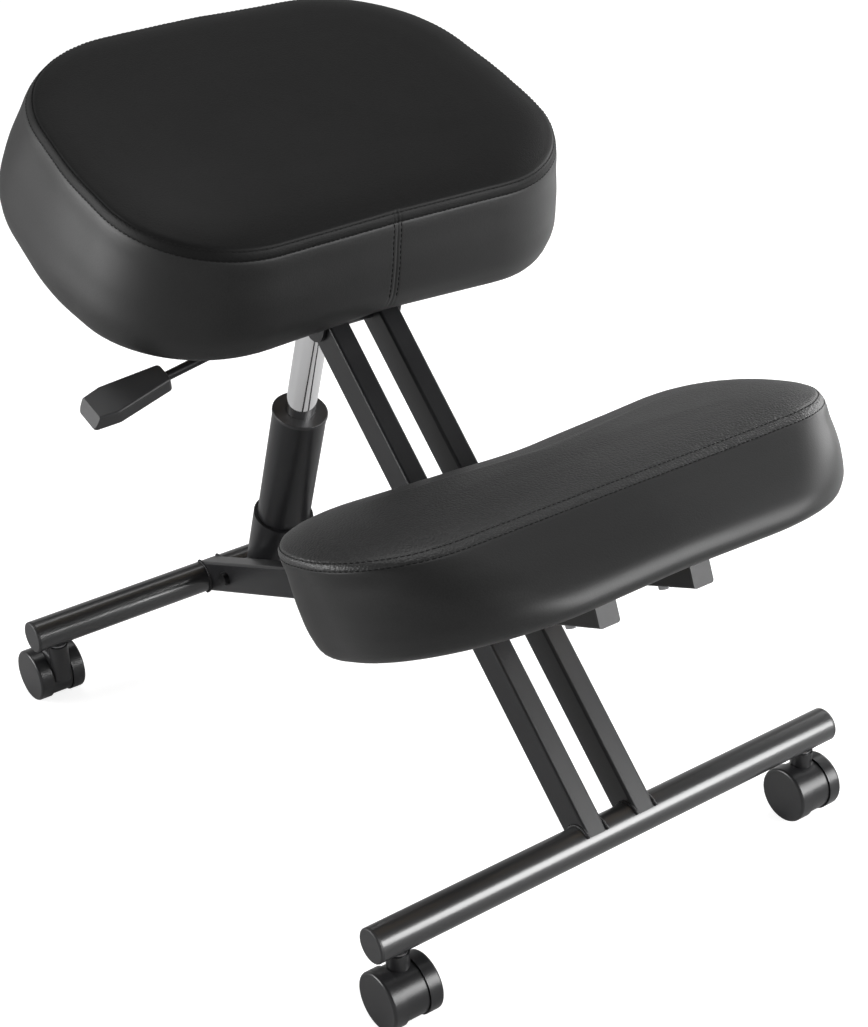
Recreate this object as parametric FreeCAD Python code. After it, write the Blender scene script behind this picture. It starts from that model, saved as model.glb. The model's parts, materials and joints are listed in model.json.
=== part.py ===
import FreeCAD, Part
import math
import os
from FreeCAD import Placement, Rotation, Vector

# Kneeling chair: two crossed frames on castors, a gas lift under a tilted
# seat, and a knee pad on the front end of the rear frame.
# Millimetres. +Z is up, the knee pad faces -Y, X is the width.
# The origin is on the floor, on the centre plane, midway between the foot tubes.

# Base, seen from the side
track = 548.0             # front foot tube axis to rear foot tube axis
tube_height = 79.0        # foot tube axes above the floor
inner_rise = 42.6         # slope of the inner beams, degrees
outer_rise = 22.8         # slope of the outer beams, degrees
column_lean = 16.95       # the column leans forward, degrees
column_hinge_up = 48.8    # rear tube axis to column hinge, along the outer beams
seat_hinge_up = 487.0     # front tube axis to seat hinge, along the inner beams

# Foot tubes and their caps
tube_od = 30.0
tube_wall = 2.0
tube_length = 480.0
cap_flange = 3.0
cap_plug = 14.0
plug_clearance = 0.1

# Rectangular beams
beam_width = 20.0
beam_depth = 30.0
beam_wall = 1.5
beam_corner = 2.5
inner_half_gap = 16.0     # centre plane to the inner face of an inner beam
beam_gap = 1.0            # between an inner and an outer beam
outer_beam_length = 626.5
inner_beam_past_hinge = 17.0
beam_cap_flange = 2.0
beam_cap_plug = 8.0

# Pivots
bolt_d = 8.0
pivot_clearance = 0.05    # radial, running fit
bolt_head_d = 13.0
bolt_head_t = 5.0
bush_wall = 2.0
bush_flange_t = 0.7
spacer_od = 18.0
seat_pin_d = 10.0
linkage_clearance = 1.6   # radial, at the seat hinge
seat_sleeve_od = 18.0
seat_pin_head_d = 16.0
seat_pin_head_t = 4.0

# Column and gas lift, measured from the column hinge along the column
hinge_sleeve_od = 24.0
sleeve_end_gap = 0.5
cup_od = 57.0
cup_wall = 3.3
cup_top = 63.5
cup_floor_base = 8.0
cup_floor_t = 8.0
column_od = 50.0
column_wall = 2.0
column_top = 190.0
column_base_t = 6.0
guide_lip = 3.0
guide_length = 60.0
lift_od = 28.0
lift_bore = 24.0
lift_bottom = 115.0
lift_top = 349.0
lift_taper = 27.0
lift_tip_d = 26.0
lift_plug_t = 18.0
slide_clearance = 0.1
piston_rod_d = 10.0
piston_top = 205.0
piston_t = 12.0
clip_t = 1.2
clip_od = 18.0
button_d = 7.0
button_length = 10.0
button_pocket = 15.0
button_clearance = 0.3

# Seat bracket, measured in the column's frame
seat_base = 367.5         # underside of the seat board
plate_t = 3.0
plate_half_width = 80.0
plate_front = 66.0
plate_rear = 92.0
plate_corner = 14.0
ear_radius = 16.0
ear_t = 3.0
ear_gap = 0.8             # inner beam to ear
web_t = 3.0
web_below_plate = 19.0
socket_od = 40.0
socket_length = 28.0
seat_screw_x = 62.0
seat_screw_front = 52.0
seat_screw_rear = 74.0
screw_d = 6.0
screw_head_d = 11.0
screw_head_t = 4.0
screw_bite = 9.0

# Boards under the cushions
board_t = 12.0
board_gap = 0.3           # board to cushion

# Seat cushion: the outline of its top seam
seat_seam = 465.0
seat_half_width = 212.0
seat_front = 86.0
seat_rear = 226.0
seat_front_r = 97.0
seat_rear_r = 122.0
seat_side_r = 400.0
seat_end_r = 650.0        # the nearly straight front and rear
seat_bow = 4.0
seat_crown = 14.0
seat_foot_inset = 12.0
seat_board_inset = 30.0

# Rows below the seam: outwards, share of the height down to the board, how
# far the front corners hang, how far the sides hang, rear corner radius
seat_sides = [
    (-6, -0.03, 7, 10, 92),
    (7, 0.06, 9, 13, 92),
    (12, 0.25, 6, 9, 92),
    (12, 0.5, 2, 3, 96),
    (5, 0.8, 0, 0, 116),
    (0, 1, 0, 0, 122),
]

# Rows above the seam: outwards, share of the crown
seat_top = [(0, 0), (-12, 0.42), (-38, 0.78), (-80, 1.0)]

# Knee pad, measured along the outer beams from its reference point
pad_reference = 491.0     # rear tube axis to the reference, along the beams
pad_seam = 101.5          # seam plane above the beams' centre line
pad_seam_fall = 5.8       # the seam plane falls forwards, degrees
pad_crown = 12.5
pad_notch_r = 150.0
pad_front_bow_r = 900.0
pad_board_inset = 8.0
pad_bolt_low = 40.0
pad_bolt_high = 90.0

# Outlines: front, half width, rear corners, rear notch, front radius, rear radius
pad_foot = (158, 198, 15, -20, 104, 56)
pad_at_seam = (137, 240, 41, 6, 80, 85)

# Rows below the seam: outline, height, fall, how far the front corners hang,
# how far the rear corners hang, how far the notch is lifted
pad_sides = [
    ((184, 219, 36, 0, 128, 62), 17.0, 0.3, 3, 13, 8),
    ((190, 228, 44, 6, 128, 66), 24.0, 0.6, 3, 13, 5),
    ((172, 236, 48, 12, 112, 74), 50.0, 2.4, 2, 9, 0),
    ((152, 240, 47, 10, 94, 82), 80.0, 4.4, 0, 3, 0),
]

# Rows above the seam: outline, share of the crown
pad_top = [
    ((126, 229, 31, -4, 70, 75), 0.48),
    ((106, 208, 11, -24, 54, 52), 0.84),
    ((84, 180, -12, -40, 32, 32), 1.0),
]

# Release lever on the seat's left side
lever_rod_d = 8.0
lever_forward = 50.0
lever_height = 356.0
lever_bend_in = 80.0
lever_bend_out = 128.0
lever_fall = 13.4         # degrees, outboard of the first bend
lever_reach = 192.0
lever_bend_r = 16.0
paddle_length = 64.0
paddle_inner_width = 21.0
paddle_outer_width = 34.0
paddle_t = 13.5
paddle_bevel = 7.0
paddle_edge_r = 2.0
paddle_grip = 10.0        # the rod's end inside the paddle
lever_bush_od = 15.0
lever_bush_t = 7.0
lever_play = 0.5

# Castors
castor_x = 217.8
wheel_d = 50.0
wheel_width = 13.0
wheel_gap = 0.5
wheel_face_t = 2.2
wheel_rim_t = 3.5
wheel_round = 2.5
hub_od = 14.0
axle_d = 6.0
hood_width = 20.0
hood_radius = 23.5
hood_top = 57.0
boss_od = 19.0
boss_gap = 0.3
spine_r = 4.0
stem_d = 8.0
stem_flange_d = 16.0
stem_flange_t = 1.5
stem_bottom = 35.0
socket_sleeve_od = 13.0
socket_height = 14.0
front_trail = -4.0        # wheel axis behind the stem
rear_trail = 20.0
pedal_width = 22.0
pedal_length = 26.0
pedal_t = 3.5
pedal_hub_d = 9.0
pedal_hub_width = 9.0
pedal_back = 9.0
pedal_height = 49.5
pedal_gap = 0.3

LEFT = -1
RIGHT = 1

# Worked out from the sizes above
front_y = -track / 2
rear_y = track / 2
inner_slope = math.tan(math.radians(inner_rise))
outer_slope = math.tan(math.radians(outer_rise))
pivot_y = front_y + track * outer_slope / (inner_slope + outer_slope)
pivot_z = tube_height + (pivot_y - front_y) * inner_slope
beam_pitch = beam_width + beam_gap
inner_x = inner_half_gap + beam_width / 2
outer_x = inner_x + beam_pitch
inner_face = inner_half_gap + beam_width
outer_inside = outer_x - beam_width / 2
outer_outside = outer_x + beam_width / 2

inner_frame = Placement(Vector(0, front_y, tube_height), Rotation(Vector(1, 0, 0), inner_rise))
outer_frame = Placement(Vector(0, rear_y, tube_height), Rotation(Vector(1, 0, 0), -outer_rise))
column_base = outer_frame.multVec(Vector(0, -column_hinge_up, 0))
column_frame = Placement(column_base, Rotation(Vector(1, 0, 0), column_lean))
seat_hinge = inner_frame.multVec(Vector(0, seat_hinge_up, 0))
seat_hinge_in_column = column_frame.inverse().multVec(seat_hinge)
pivot = Vector(0, pivot_y, pivot_z)


def put(shape, frame):
    placed = shape.copy()
    placed.Placement = frame.multiply(shape.Placement)
    return placed


def save(name, *solids):
    shape = solids[0] if len(solids) == 1 else Part.makeCompound(list(solids))
    shape.exportStep("parts/" + name + ".step")


def bar(x0, x1, radius, centre):
    """A round bar along X."""
    return Part.makeCylinder(radius, x1 - x0, Vector(x0, centre.y, centre.z), Vector(1, 0, 0))


def upright(radius, z0, z1, x=0, y=0):
    return Part.makeCylinder(radius, z1 - z0, Vector(x, y, z0))


def hexagon(across_flats, x0, x1, centre):
    """A hexagonal prism along X."""
    corner = across_flats / math.sqrt(3)
    angles = [math.radians(60 * k) for k in range(7)]
    points = [Vector(x0, centre.y + corner * math.cos(a), centre.z + corner * math.sin(a)) for a in angles]
    return Part.Face(Part.makePolygon(points)).extrude(Vector(x1 - x0, 0, 0))


def bend(before, corner, after, radius):
    """Start, middle and end of the arc that rounds a corner."""
    back = (before - corner).normalize()
    ahead = (after - corner).normalize()
    half = back.getAngle(ahead) / 2
    reach = radius / math.tan(half)
    middle = (back + ahead).normalize() * (radius / math.sin(half) - radius)
    return corner + back * reach, corner + middle, corner + ahead * reach


def rounded(corners):
    """A closed wire through corner points, each with its own radius."""
    points = [corner for corner, radius in corners]
    following = points[1:] + points[:1]
    bends = [bend(points[k - 1], point, following[k], corners[k][1]) for k, point in enumerate(points)]
    edges = []
    for k, (start, middle, end) in enumerate(bends):
        edges.append(Part.Arc(start, middle, end).toShape())
        edges.append(Part.makeLine(end, bends[(k + 1) % len(bends)][0]))
    return Part.Wire(edges)


def rounded_box(width, depth, length, radius):
    """A bar of rounded rectangular section along Y, from the origin."""
    half_w, half_d = width / 2, depth / 2
    signs = [(-1, -1), (1, -1), (1, 1), (-1, 1)]
    wire = rounded([(Vector(sx * half_w, 0, sz * half_d), radius) for sx, sz in signs])
    return Part.Face(wire).extrude(Vector(0, length, 0))


def castor_places():
    """Name, body, side, foot tube position and trail of each castor."""
    return [
        ("front_left", LEFT, front_y, front_trail),
        ("front_right", RIGHT, front_y, front_trail),
        ("rear_left", LEFT, rear_y, rear_trail),
        ("rear_right", RIGHT, rear_y, rear_trail),
    ]


def socket_hole(x, y):
    return upright(socket_sleeve_od / 2, tube_height - tube_od, tube_height, x, y)


def foot_tube(y):
    centre = Vector(0, y, tube_height)
    half = tube_length / 2
    tube = bar(-half, half, tube_od / 2, centre).cut(bar(-half, half, tube_od / 2 - tube_wall, centre))
    for side in (LEFT, RIGHT):
        tube = tube.cut(socket_hole(side * castor_x, y))
    return tube


def tube_caps(y):
    """A plug with a rounded flange in each end of a foot tube."""
    bore = tube_od / 2 - tube_wall - plug_clearance
    caps = []
    for side in (LEFT, RIGHT):
        flange = Part.makeCylinder(tube_od / 2, cap_flange)
        flange = flange.makeFillet(cap_flange * 0.5, [flange.Edges[0]])
        plug = upright(bore, -cap_plug, 0).cut(upright(bore - 2.0, -cap_plug, -2.0))
        cap = flange.fuse(plug).removeSplitter()
        turn = Rotation(Vector(0, 1, 0), 90 * side)
        caps.append(put(cap, Placement(Vector(side * tube_length / 2, y, tube_height), turn)))
    return caps


def castor_sockets(y):
    """A sleeve in the lower wall of the foot tube that grips each stem."""
    sleeves = []
    for side in (LEFT, RIGHT):
        foot = tube_height - tube_od / 2
        sleeve = upright(socket_sleeve_od / 2, foot, foot + socket_height, side * castor_x, y)
        sleeves.append(sleeve.cut(upright(stem_d / 2, 0, tube_height, side * castor_x, y)))
    return sleeves


def castor_stems(y):
    stems = []
    for side in (LEFT, RIGHT):
        x = side * castor_x
        foot = tube_height - tube_od / 2
        stem = upright(stem_d / 2, stem_bottom, foot + socket_height, x, y)
        flange = upright(stem_flange_d / 2, foot - stem_flange_t, foot, x, y)
        stems.append(stem.fuse(flange).removeSplitter())
    return stems


def beam(length, frame, x, direction):
    """A rectangular tube coped onto its foot tube, in its frame's YZ plane."""
    outer = rounded_box(beam_width, beam_depth, length * direction, beam_corner)
    bore_r = max(beam_corner - beam_wall, 0.4)
    inner = rounded_box(beam_width - 2 * beam_wall, beam_depth - 2 * beam_wall, length * direction, bore_r)
    tube = outer.cut(inner)
    tube.translate(Vector(x, 0, 0))
    tube = tube.cut(bar(x - beam_width, x + beam_width, tube_od / 2, Vector(0, 0, 0)))
    return put(tube, frame)


def beam_caps(length, frame, centre_x, direction):
    """A plastic plug in the free end of each of two beams."""
    caps = []
    inside = beam_wall + plug_clearance
    for side in (LEFT, RIGHT):
        flange = rounded_box(beam_width, beam_depth, beam_cap_flange * direction, beam_corner)
        plug_radius = max(beam_corner - inside, 0.3)
        plug = rounded_box(beam_width - 2 * inside, beam_depth - 2 * inside, -beam_cap_plug * direction, plug_radius)
        cap = flange.fuse(plug).removeSplitter()
        cap.translate(Vector(side * centre_x, length * direction, 0))
        caps.append(put(cap, frame))
    return caps


def outer_beam(side):
    body = beam(outer_beam_length, outer_frame, side * outer_x, -1)
    edge = outer_outside + 1
    body = body.cut(bar(-edge, edge, bolt_d / 2, pivot))
    body = body.cut(bar(-edge, edge, bolt_d / 2, column_base))
    for back in (pad_bolt_low, pad_bolt_high):
        hole = upright(screw_d / 2, -beam_depth, beam_depth, side * outer_x, -pad_reference - back)
        body = body.cut(put(hole, outer_frame))
    return body


def inner_beam(side):
    body = beam(seat_hinge_up + inner_beam_past_hinge, inner_frame, side * inner_x, 1)
    edge = inner_face + 1
    body = body.cut(bar(-edge, edge, bolt_d / 2 + bush_wall, pivot))
    return body.cut(bar(-edge, edge, seat_pin_d / 2 + linkage_clearance, seat_hinge))


def through_bolt(centre, reach, head_side):
    """A bolt along X with a low round head on one side and room for its nut."""
    shank = bar(-reach - bolt_head_t, reach + bolt_head_t, bolt_d / 2, centre)
    start, end = sorted((head_side * reach, head_side * (reach + bolt_head_t)))
    head = bar(start, end, bolt_head_d / 2, centre)
    return shank.fuse(head).removeSplitter()


def through_nut(centre, reach, side):
    start, end = sorted((side * reach, side * (reach + bolt_head_t)))
    nut = hexagon(bolt_head_d, start, end, centre)
    return nut.cut(bar(start, end, bolt_d / 2, centre))


def scissor_bushes():
    """A flanged sleeve through each inner beam, running on the bolt."""
    bushes = []
    bore = bolt_d / 2 + pivot_clearance
    for side in (LEFT, RIGHT):
        ends = sorted((side * inner_half_gap, side * inner_face))
        sleeve = bar(ends[0], ends[1], bolt_d / 2 + bush_wall, pivot)
        ends = sorted((side * inner_face, side * (inner_face + bush_flange_t)))
        flange = bar(ends[0], ends[1], bolt_head_d / 2, pivot)
        bush = sleeve.fuse(flange).removeSplitter()
        bushes.append(bush.cut(bar(-outer_x, outer_x, bore, pivot)))
    return bushes


def cross_sleeve(centre, od, bore_radius):
    """A tube welded between the two inner beams."""
    sleeve = bar(-inner_half_gap, inner_half_gap, od / 2, centre)
    return sleeve.cut(bar(-inner_half_gap, inner_half_gap, bore_radius, centre))


def column_hinge_sleeve():
    half = outer_inside - sleeve_end_gap
    sleeve = bar(-half, half, hinge_sleeve_od / 2, Vector(0, 0, 0))
    return sleeve.cut(bar(-half, half, bolt_d / 2 + pivot_clearance, Vector(0, 0, 0)))


def column_cup():
    """A drawn steel cup coped onto the hinge sleeve, open at the top."""
    floor_top = cup_floor_base + cup_floor_t
    cup = upright(cup_od / 2, 0, cup_top)
    foot = min(cup.Edges, key=lambda e: e.BoundBox.ZMax)
    cup = cup.makeFillet(3.0, [foot])
    cup = cup.cut(upright(cup_od / 2 - cup_wall, floor_top, cup_top))
    cup = cup.cut(upright(clip_od / 2 + 1.0, cup_floor_base, floor_top))
    return cup.cut(bar(-cup_od, cup_od, hinge_sleeve_od / 2, Vector(0, 0, 0)))


def column_tube():
    base = cup_floor_base + cup_floor_t
    tube = upright(column_od / 2, base, column_top)
    tube = tube.cut(upright(column_od / 2 - column_wall, base + column_base_t, column_top))
    return tube.cut(upright(piston_rod_d / 2, base, base + column_base_t))


def column_guide_bush():
    """The plastic guide at the column's mouth, with a lip over its rim."""
    sleeve = upright(column_od / 2 - column_wall, column_top - guide_length, column_top)
    lip = upright(column_od / 2 + 0.8, column_top, column_top + guide_lip)
    rim = max(lip.Edges, key=lambda e: e.BoundBox.ZMin)
    lip = lip.makeFillet(1.2, [rim])
    bush = sleeve.fuse(lip).removeSplitter()
    bore = lift_od / 2 + slide_clearance
    return bush.cut(upright(bore, column_top - guide_length, column_top + guide_lip))


def piston_rod():
    base = cup_floor_base + cup_floor_t
    rod = upright(piston_rod_d / 2, base - 2 * clip_t, piston_top)
    groove = upright(piston_rod_d / 2, base - clip_t, base).cut(upright(piston_rod_d / 2 - 1.0, base - clip_t, base))
    head = upright(lift_bore / 2 - slide_clearance, piston_top - piston_t, piston_top)
    return rod.cut(groove).fuse(head).removeSplitter()


def piston_clip():
    """An open spring clip in the rod's groove, under the column's base."""
    base = cup_floor_base + cup_floor_t
    ring = upright(clip_od / 2, base - clip_t, base)
    ring = ring.cut(upright(piston_rod_d / 2 - 1.0, base - clip_t, base))
    mouth = Part.makeBox(piston_rod_d - 2.5, clip_od, clip_t)
    mouth.translate(Vector(-(piston_rod_d - 2.5) / 2, 0, base - clip_t))
    return ring.cut(mouth)


def lift_cylinder():
    """The sliding cylinder, tapered at its top to grip the seat's socket."""
    body = upright(lift_od / 2, lift_bottom, lift_top - lift_taper)
    cone = Part.makeCone(lift_od / 2, lift_tip_d / 2, lift_taper, Vector(0, 0, lift_top - lift_taper))
    cylinder = body.fuse(cone)
    cylinder = cylinder.cut(upright(lift_bore / 2, lift_bottom, lift_top - lift_plug_t))
    pocket = upright(button_d / 2 + slide_clearance, lift_top - button_pocket, lift_top)
    return cylinder.cut(pocket)


def release_button():
    top = lever_height - lever_rod_d / 2 - button_clearance
    button = upright(button_d / 2, top - button_length, top)
    rim = max(button.Edges, key=lambda e: e.BoundBox.ZMin)
    return button.makeChamfer(1.0, [rim])


def taper_socket():
    top = seat_base - plate_t - web_below_plate
    bottom = top - socket_length
    block = upright(socket_od / 2, bottom, top)
    narrowing = (lift_od - lift_tip_d) / 2 / lift_taper
    start = lift_top - lift_taper
    straight = upright(lift_od / 2, bottom, start)
    cone = Part.makeCone(lift_od / 2, lift_od / 2 - narrowing * (top - start), top - start, Vector(0, 0, start))
    return block.cut(straight).cut(cone)


def seat_bracket():
    """A pressed plate with two side walls that end in ears, and a web."""
    top = seat_base
    under = top - plate_t
    hx, front, rear = plate_half_width, -plate_front, plate_rear
    corners = [(-hx, front), (hx, front), (hx, rear), (-hx, rear)]
    wire = rounded([(Vector(x, y, under), plate_corner) for x, y in corners])
    bracket = Part.Face(wire).extrude(Vector(0, 0, plate_t))
    wall_in = inner_face + ear_gap
    hinge = seat_hinge_in_column
    tip = hinge + Vector(0, 0, -ear_radius)
    nose = hinge + Vector(0, -ear_radius, 0)
    turn = math.radians(225)
    lower = hinge + Vector(0, ear_radius * math.cos(turn), ear_radius * math.sin(turn))
    heel = Vector(0, rear - 10, under - 12)
    web_top = under - web_below_plate + web_t
    for side in (LEFT, RIGHT):
        edges = [
            Part.makeLine(Vector(0, nose.y, under), nose),
            Part.Arc(nose, lower, tip).toShape(),
            Part.makeLine(tip, heel),
            Part.makeLine(heel, Vector(0, rear, under)),
            Part.makeLine(Vector(0, rear, under), Vector(0, nose.y, under)),
        ]
        wall = Part.Face(Part.Wire(edges)).extrude(Vector(ear_t, 0, 0))
        wall.translate(Vector(min(side * wall_in, side * (wall_in + ear_t)), 0, 0))
        bracket = bracket.fuse(wall)
    half_length = socket_od / 2 + 6
    web = Part.makeBox(2 * wall_in, 2 * half_length, web_t)
    web.translate(Vector(-wall_in, -half_length, web_top - web_t))
    bracket = bracket.fuse(web).removeSplitter()
    bracket = bracket.cut(upright(lift_od / 2 + 1, web_top - web_t, web_top))
    edge = wall_in + ear_t
    bracket = bracket.cut(bar(-edge, edge, seat_pin_d / 2, hinge))
    bush_seat = bar(-edge, -wall_in, lever_bush_od / 2, Vector(0, 0, lever_height))
    bracket = bracket.cut(bush_seat)
    for x, y in seat_screw_places():
        bracket = bracket.cut(upright(screw_d / 2, under, top, x, y))
    return bracket


def seat_hinge_pin():
    """The pin through both ears, with a head outside the left one."""
    hinge = seat_hinge_in_column
    face = inner_face + ear_gap + ear_t
    pin = bar(-face, face + seat_pin_head_t, seat_pin_d / 2, hinge)
    head = bar(-face - seat_pin_head_t, -face, seat_pin_head_d / 2, hinge)
    return pin.fuse(head).removeSplitter()


def seat_hinge_nut():
    face = inner_face + ear_gap + ear_t
    nut = hexagon(seat_pin_head_d, face, face + seat_pin_head_t, seat_hinge_in_column)
    return nut.cut(bar(face, face + seat_pin_head_t, seat_pin_d / 2, seat_hinge_in_column))


def seat_screw_places():
    return [(side * seat_screw_x, y) for side in (LEFT, RIGHT) for y in (-seat_screw_front, seat_screw_rear)]


def seat_screws():
    under = seat_base - plate_t
    screws = []
    for x, y in seat_screw_places():
        shank = upright(screw_d / 2, under, seat_base + screw_bite, x, y)
        head = upright(screw_head_d / 2, under - screw_head_t, under, x, y)
        screws.append(shank.fuse(head).removeSplitter())
    return screws


def seat_outline(grow, height, rear_r=seat_rear_r, front_hang=0, side_hang=0):
    """The seat's outline, grown outwards, whose corners and sides can hang."""
    side, front, rear = seat_half_width + grow, -seat_front - grow, seat_rear + grow
    front_z, side_z = height - front_hang, height - side_hang
    right = [
        (side - seat_bow, front, front_z, seat_front_r + grow),
        (side + 1, (front + rear) / 2, side_z, seat_side_r),
        (side - 2 * seat_bow, rear - seat_bow, side_z, rear_r),
    ]
    left = [(-x, y, z, r) for x, y, z, r in reversed(right)]
    ends = [(0, front + 1.5, height, seat_end_r), (0, rear + 2, height, seat_end_r)]
    corners = ends[:1] + right + ends[1:] + left
    return rounded([(Vector(x, y, z), r) for x, y, z, r in corners])


def seat_board():
    outline = seat_outline(-seat_board_inset, seat_base, seat_rear_r - seat_board_inset)
    board = Part.Face(outline).extrude(Vector(0, 0, board_t))
    for x, y in seat_screw_places():
        board = board.cut(upright(screw_d / 2, seat_base, seat_base + screw_bite, x, y))
    return board


def seat_cushion():
    """A boxed band whose lower edge hangs at the corners, under a crowned top."""
    band = seat_seam - seat_base
    rows = [seat_outline(-seat_foot_inset, seat_base, seat_rear_r - seat_foot_inset)]
    for grow, share, front_hang, side_hang, rear_r in seat_sides:
        rows.append(seat_outline(grow, seat_base + band * share, rear_r, front_hang, side_hang))
    crown = [seat_outline(grow, seat_seam + seat_crown * share, seat_rear_r + grow) for grow, share in seat_top]
    cushion = Part.makeLoft(rows, True).fuse(Part.makeLoft(crown, True))
    edge = board_gap - seat_board_inset
    pocket = Part.Face(seat_outline(edge, seat_base, seat_rear_r + edge)).extrude(Vector(0, 0, board_t + board_gap))
    return cushion.cut(pocket)


def pad_outline(outline, height, fall=0, front_hang=0, rear_hang=0, notch_lift=0, grow=0):
    """A kidney outline, forward being -Y, on a plane that falls forwards."""
    front, half_width, rear, notch, front_r, rear_r = outline
    front, half_width, rear, notch = front + grow, half_width + grow, rear + grow, notch + grow
    slope = math.tan(math.radians(fall))
    right = [
        (half_width, -front, -front_hang, front_r + grow),
        (half_width - 4, rear, -rear_hang, rear_r + grow),
    ]
    left = [(-x, y, z, r) for x, y, z, r in reversed(right)]
    middles = [(0, -front - 1.5, 0, pad_front_bow_r), (0, notch, notch_lift, pad_notch_r)]
    corners = middles[:1] + right + middles[1:] + left
    return rounded([(Vector(x, y, height + y * slope + z), r) for x, y, z, r in corners])


def knee_pad_cushion():
    """A crowned kidney pad whose front face slopes down and forwards."""
    base = beam_depth / 2
    seam = pad_outline(pad_at_seam, pad_seam, pad_seam_fall)
    rows = [pad_outline(pad_foot, base)] + [pad_outline(*row) for row in pad_sides] + [seam]
    crown = [seam]
    for outline, share in pad_top:
        crown.append(pad_outline(outline, pad_seam + pad_crown * share, pad_seam_fall))
    cushion = Part.makeLoft(rows, True).fuse(Part.makeLoft(crown, True))
    return cushion.cut(pad_board_blank(board_gap, board_t + board_gap))


def pad_board_blank(grow, thickness):
    wire = pad_outline(pad_foot, beam_depth / 2, grow=grow - pad_board_inset)
    return Part.Face(wire).extrude(Vector(0, 0, thickness))


def pad_bolt_places():
    return [(side * outer_x, -ahead) for side in (LEFT, RIGHT) for ahead in (pad_bolt_low, pad_bolt_high)]


def knee_pad_board():
    board = pad_board_blank(0, board_t)
    face = beam_depth / 2
    for x, y in pad_bolt_places():
        board = board.cut(upright(screw_d / 2, face, face + screw_bite, x, y))
    return board


def knee_pad_bolts():
    face = beam_depth / 2
    bolts = []
    for x, y in pad_bolt_places():
        shank = upright(screw_d / 2, -face, face + screw_bite, x, y)
        head = upright(screw_head_d / 2, -face - screw_head_t, -face, x, y)
        bolts.append(shank.fuse(head).removeSplitter())
    return bolts


def lever_points():
    """The lever rod's bends, from the release button outwards."""
    drop = math.tan(math.radians(lever_fall))
    out_z = lever_height - (lever_bend_out - lever_bend_in) * drop
    return [
        Vector(button_d / 2, 0, lever_height),
        Vector(-lever_bend_in, 0, lever_height),
        Vector(-lever_bend_out, -lever_forward, out_z),
        Vector(-lever_reach, -lever_forward, out_z - (lever_reach - lever_bend_out) * drop),
    ]


def lever_rod():
    points = lever_points()
    edges = []
    start = points[0]
    for before, corner, after in zip(points, points[1:], points[2:]):
        arc_start, arc_middle, arc_end = bend(before, corner, after, lever_bend_r)
        edges.append(Part.makeLine(start, arc_start))
        edges.append(Part.Arc(arc_start, arc_middle, arc_end).toShape())
        start = arc_end
    edges.append(Part.makeLine(start, points[-1]))
    ring = Part.Wire(Part.makeCircle(lever_rod_d / 2, points[0], points[1] - points[0]))
    return Part.Wire(edges).makePipeShell([ring], True, False)


def lever_paddle():
    """A flat grip that widens outwards to a bevelled end."""
    end = lever_points()[-1]
    inner, outer = paddle_inner_width / 2, paddle_outer_width / 2
    tip = paddle_grip + paddle_length
    half_t = paddle_t / 2
    corners = [(0, inner, 4), (tip - 22, outer, 12), (tip, outer - 4, 4)]
    rear = [(Vector(-x, w, -half_t), r) for x, w, r in corners]
    front = [(Vector(-x, -w, -half_t), r) for x, w, r in reversed(corners)]
    blank = Part.Face(rounded(rear + front)).extrude(Vector(0, 0, paddle_t))
    rims = [e for e in blank.Edges if abs(e.BoundBox.ZMax - e.BoundBox.ZMin) < 0.01]
    blank = blank.makeFillet(paddle_edge_r, rims)
    slope = Part.makePolygon([
        Vector(-tip + paddle_bevel, -outer - 1, half_t + 1),
        Vector(-tip - 1, -outer - 1, half_t + 1),
        Vector(-tip - 1, -outer - 1, -half_t),
        Vector(-tip + paddle_bevel, -outer - 1, half_t + 1),
    ])
    blank = blank.cut(Part.Face(slope).extrude(Vector(0, 2 * outer + 2, 0)))
    socket = Part.makeCylinder(lever_rod_d / 2, paddle_grip, Vector(0, 0, 0), Vector(-1, 0, 0))
    blank = blank.cut(socket)
    frame = Placement(end, Rotation(Vector(0, 1, 0), -lever_fall))
    inward = frame.multVec(Vector(paddle_grip, 0, 0)) - end
    return put(blank, Placement(end + inward, frame.Rotation))


def lever_bush():
    """A plastic bush in the bracket's left wall, where the lever rocks."""
    middle = inner_face + ear_gap + ear_t / 2
    centre = Vector(0, 0, lever_height)
    ring = bar(-middle - ear_t / 2, -middle + ear_t / 2, lever_bush_od / 2, centre)
    collar = bar(-middle - lever_bush_t / 2, -middle - ear_t / 2, lever_bush_od / 2 + 0.5, centre)
    bush = ring.fuse(collar).removeSplitter()
    return bush.cut(bar(-outer_x, 0, lever_rod_d / 2 + lever_play, centre))


def wheel(side, trail):
    """One wheel of a twin castor: closed outside, hollow towards the hood."""
    radius = wheel_d / 2
    inside = hood_width / 2 + wheel_gap
    outside = inside + wheel_width
    profile = [
        Vector(outside, 0, 0),
        Vector(outside, 0, radius - wheel_round),
        Vector(outside - wheel_round, 0, radius),
        Vector(inside, 0, radius),
        Vector(inside, 0, radius - wheel_rim_t),
        Vector(outside - wheel_face_t, 0, radius - wheel_rim_t),
        Vector(outside - wheel_face_t, 0, hub_od / 2),
        Vector(inside, 0, hub_od / 2),
        Vector(inside, 0, 0),
    ]
    edges = [Part.makeLine(a, b) for a, b in zip(profile, profile[1:] + profile[:1]) if (a, b) != (profile[1], profile[2])]
    curve = Vector(outside - wheel_round * 0.293, 0, radius - wheel_round * 0.293)
    edges.insert(1, Part.Arc(profile[1], curve, profile[2]).toShape())
    solid = Part.Face(Part.Wire(edges)).revolve(Vector(0, 0, 0), Vector(1, 0, 0), 360)
    solid = Part.makeSolid(solid) if solid.ShapeType == "Shell" else solid
    bore_end = outside - wheel_face_t
    solid = solid.cut(bar(inside, bore_end, axle_d / 2 + pivot_clearance, Vector(0, 0, 0)))
    if side == LEFT:
        solid = solid.mirror(Vector(0, 0, 0), Vector(1, 0, 0))
    return put(solid, Placement(Vector(0, trail, radius), Rotation()))


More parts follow.
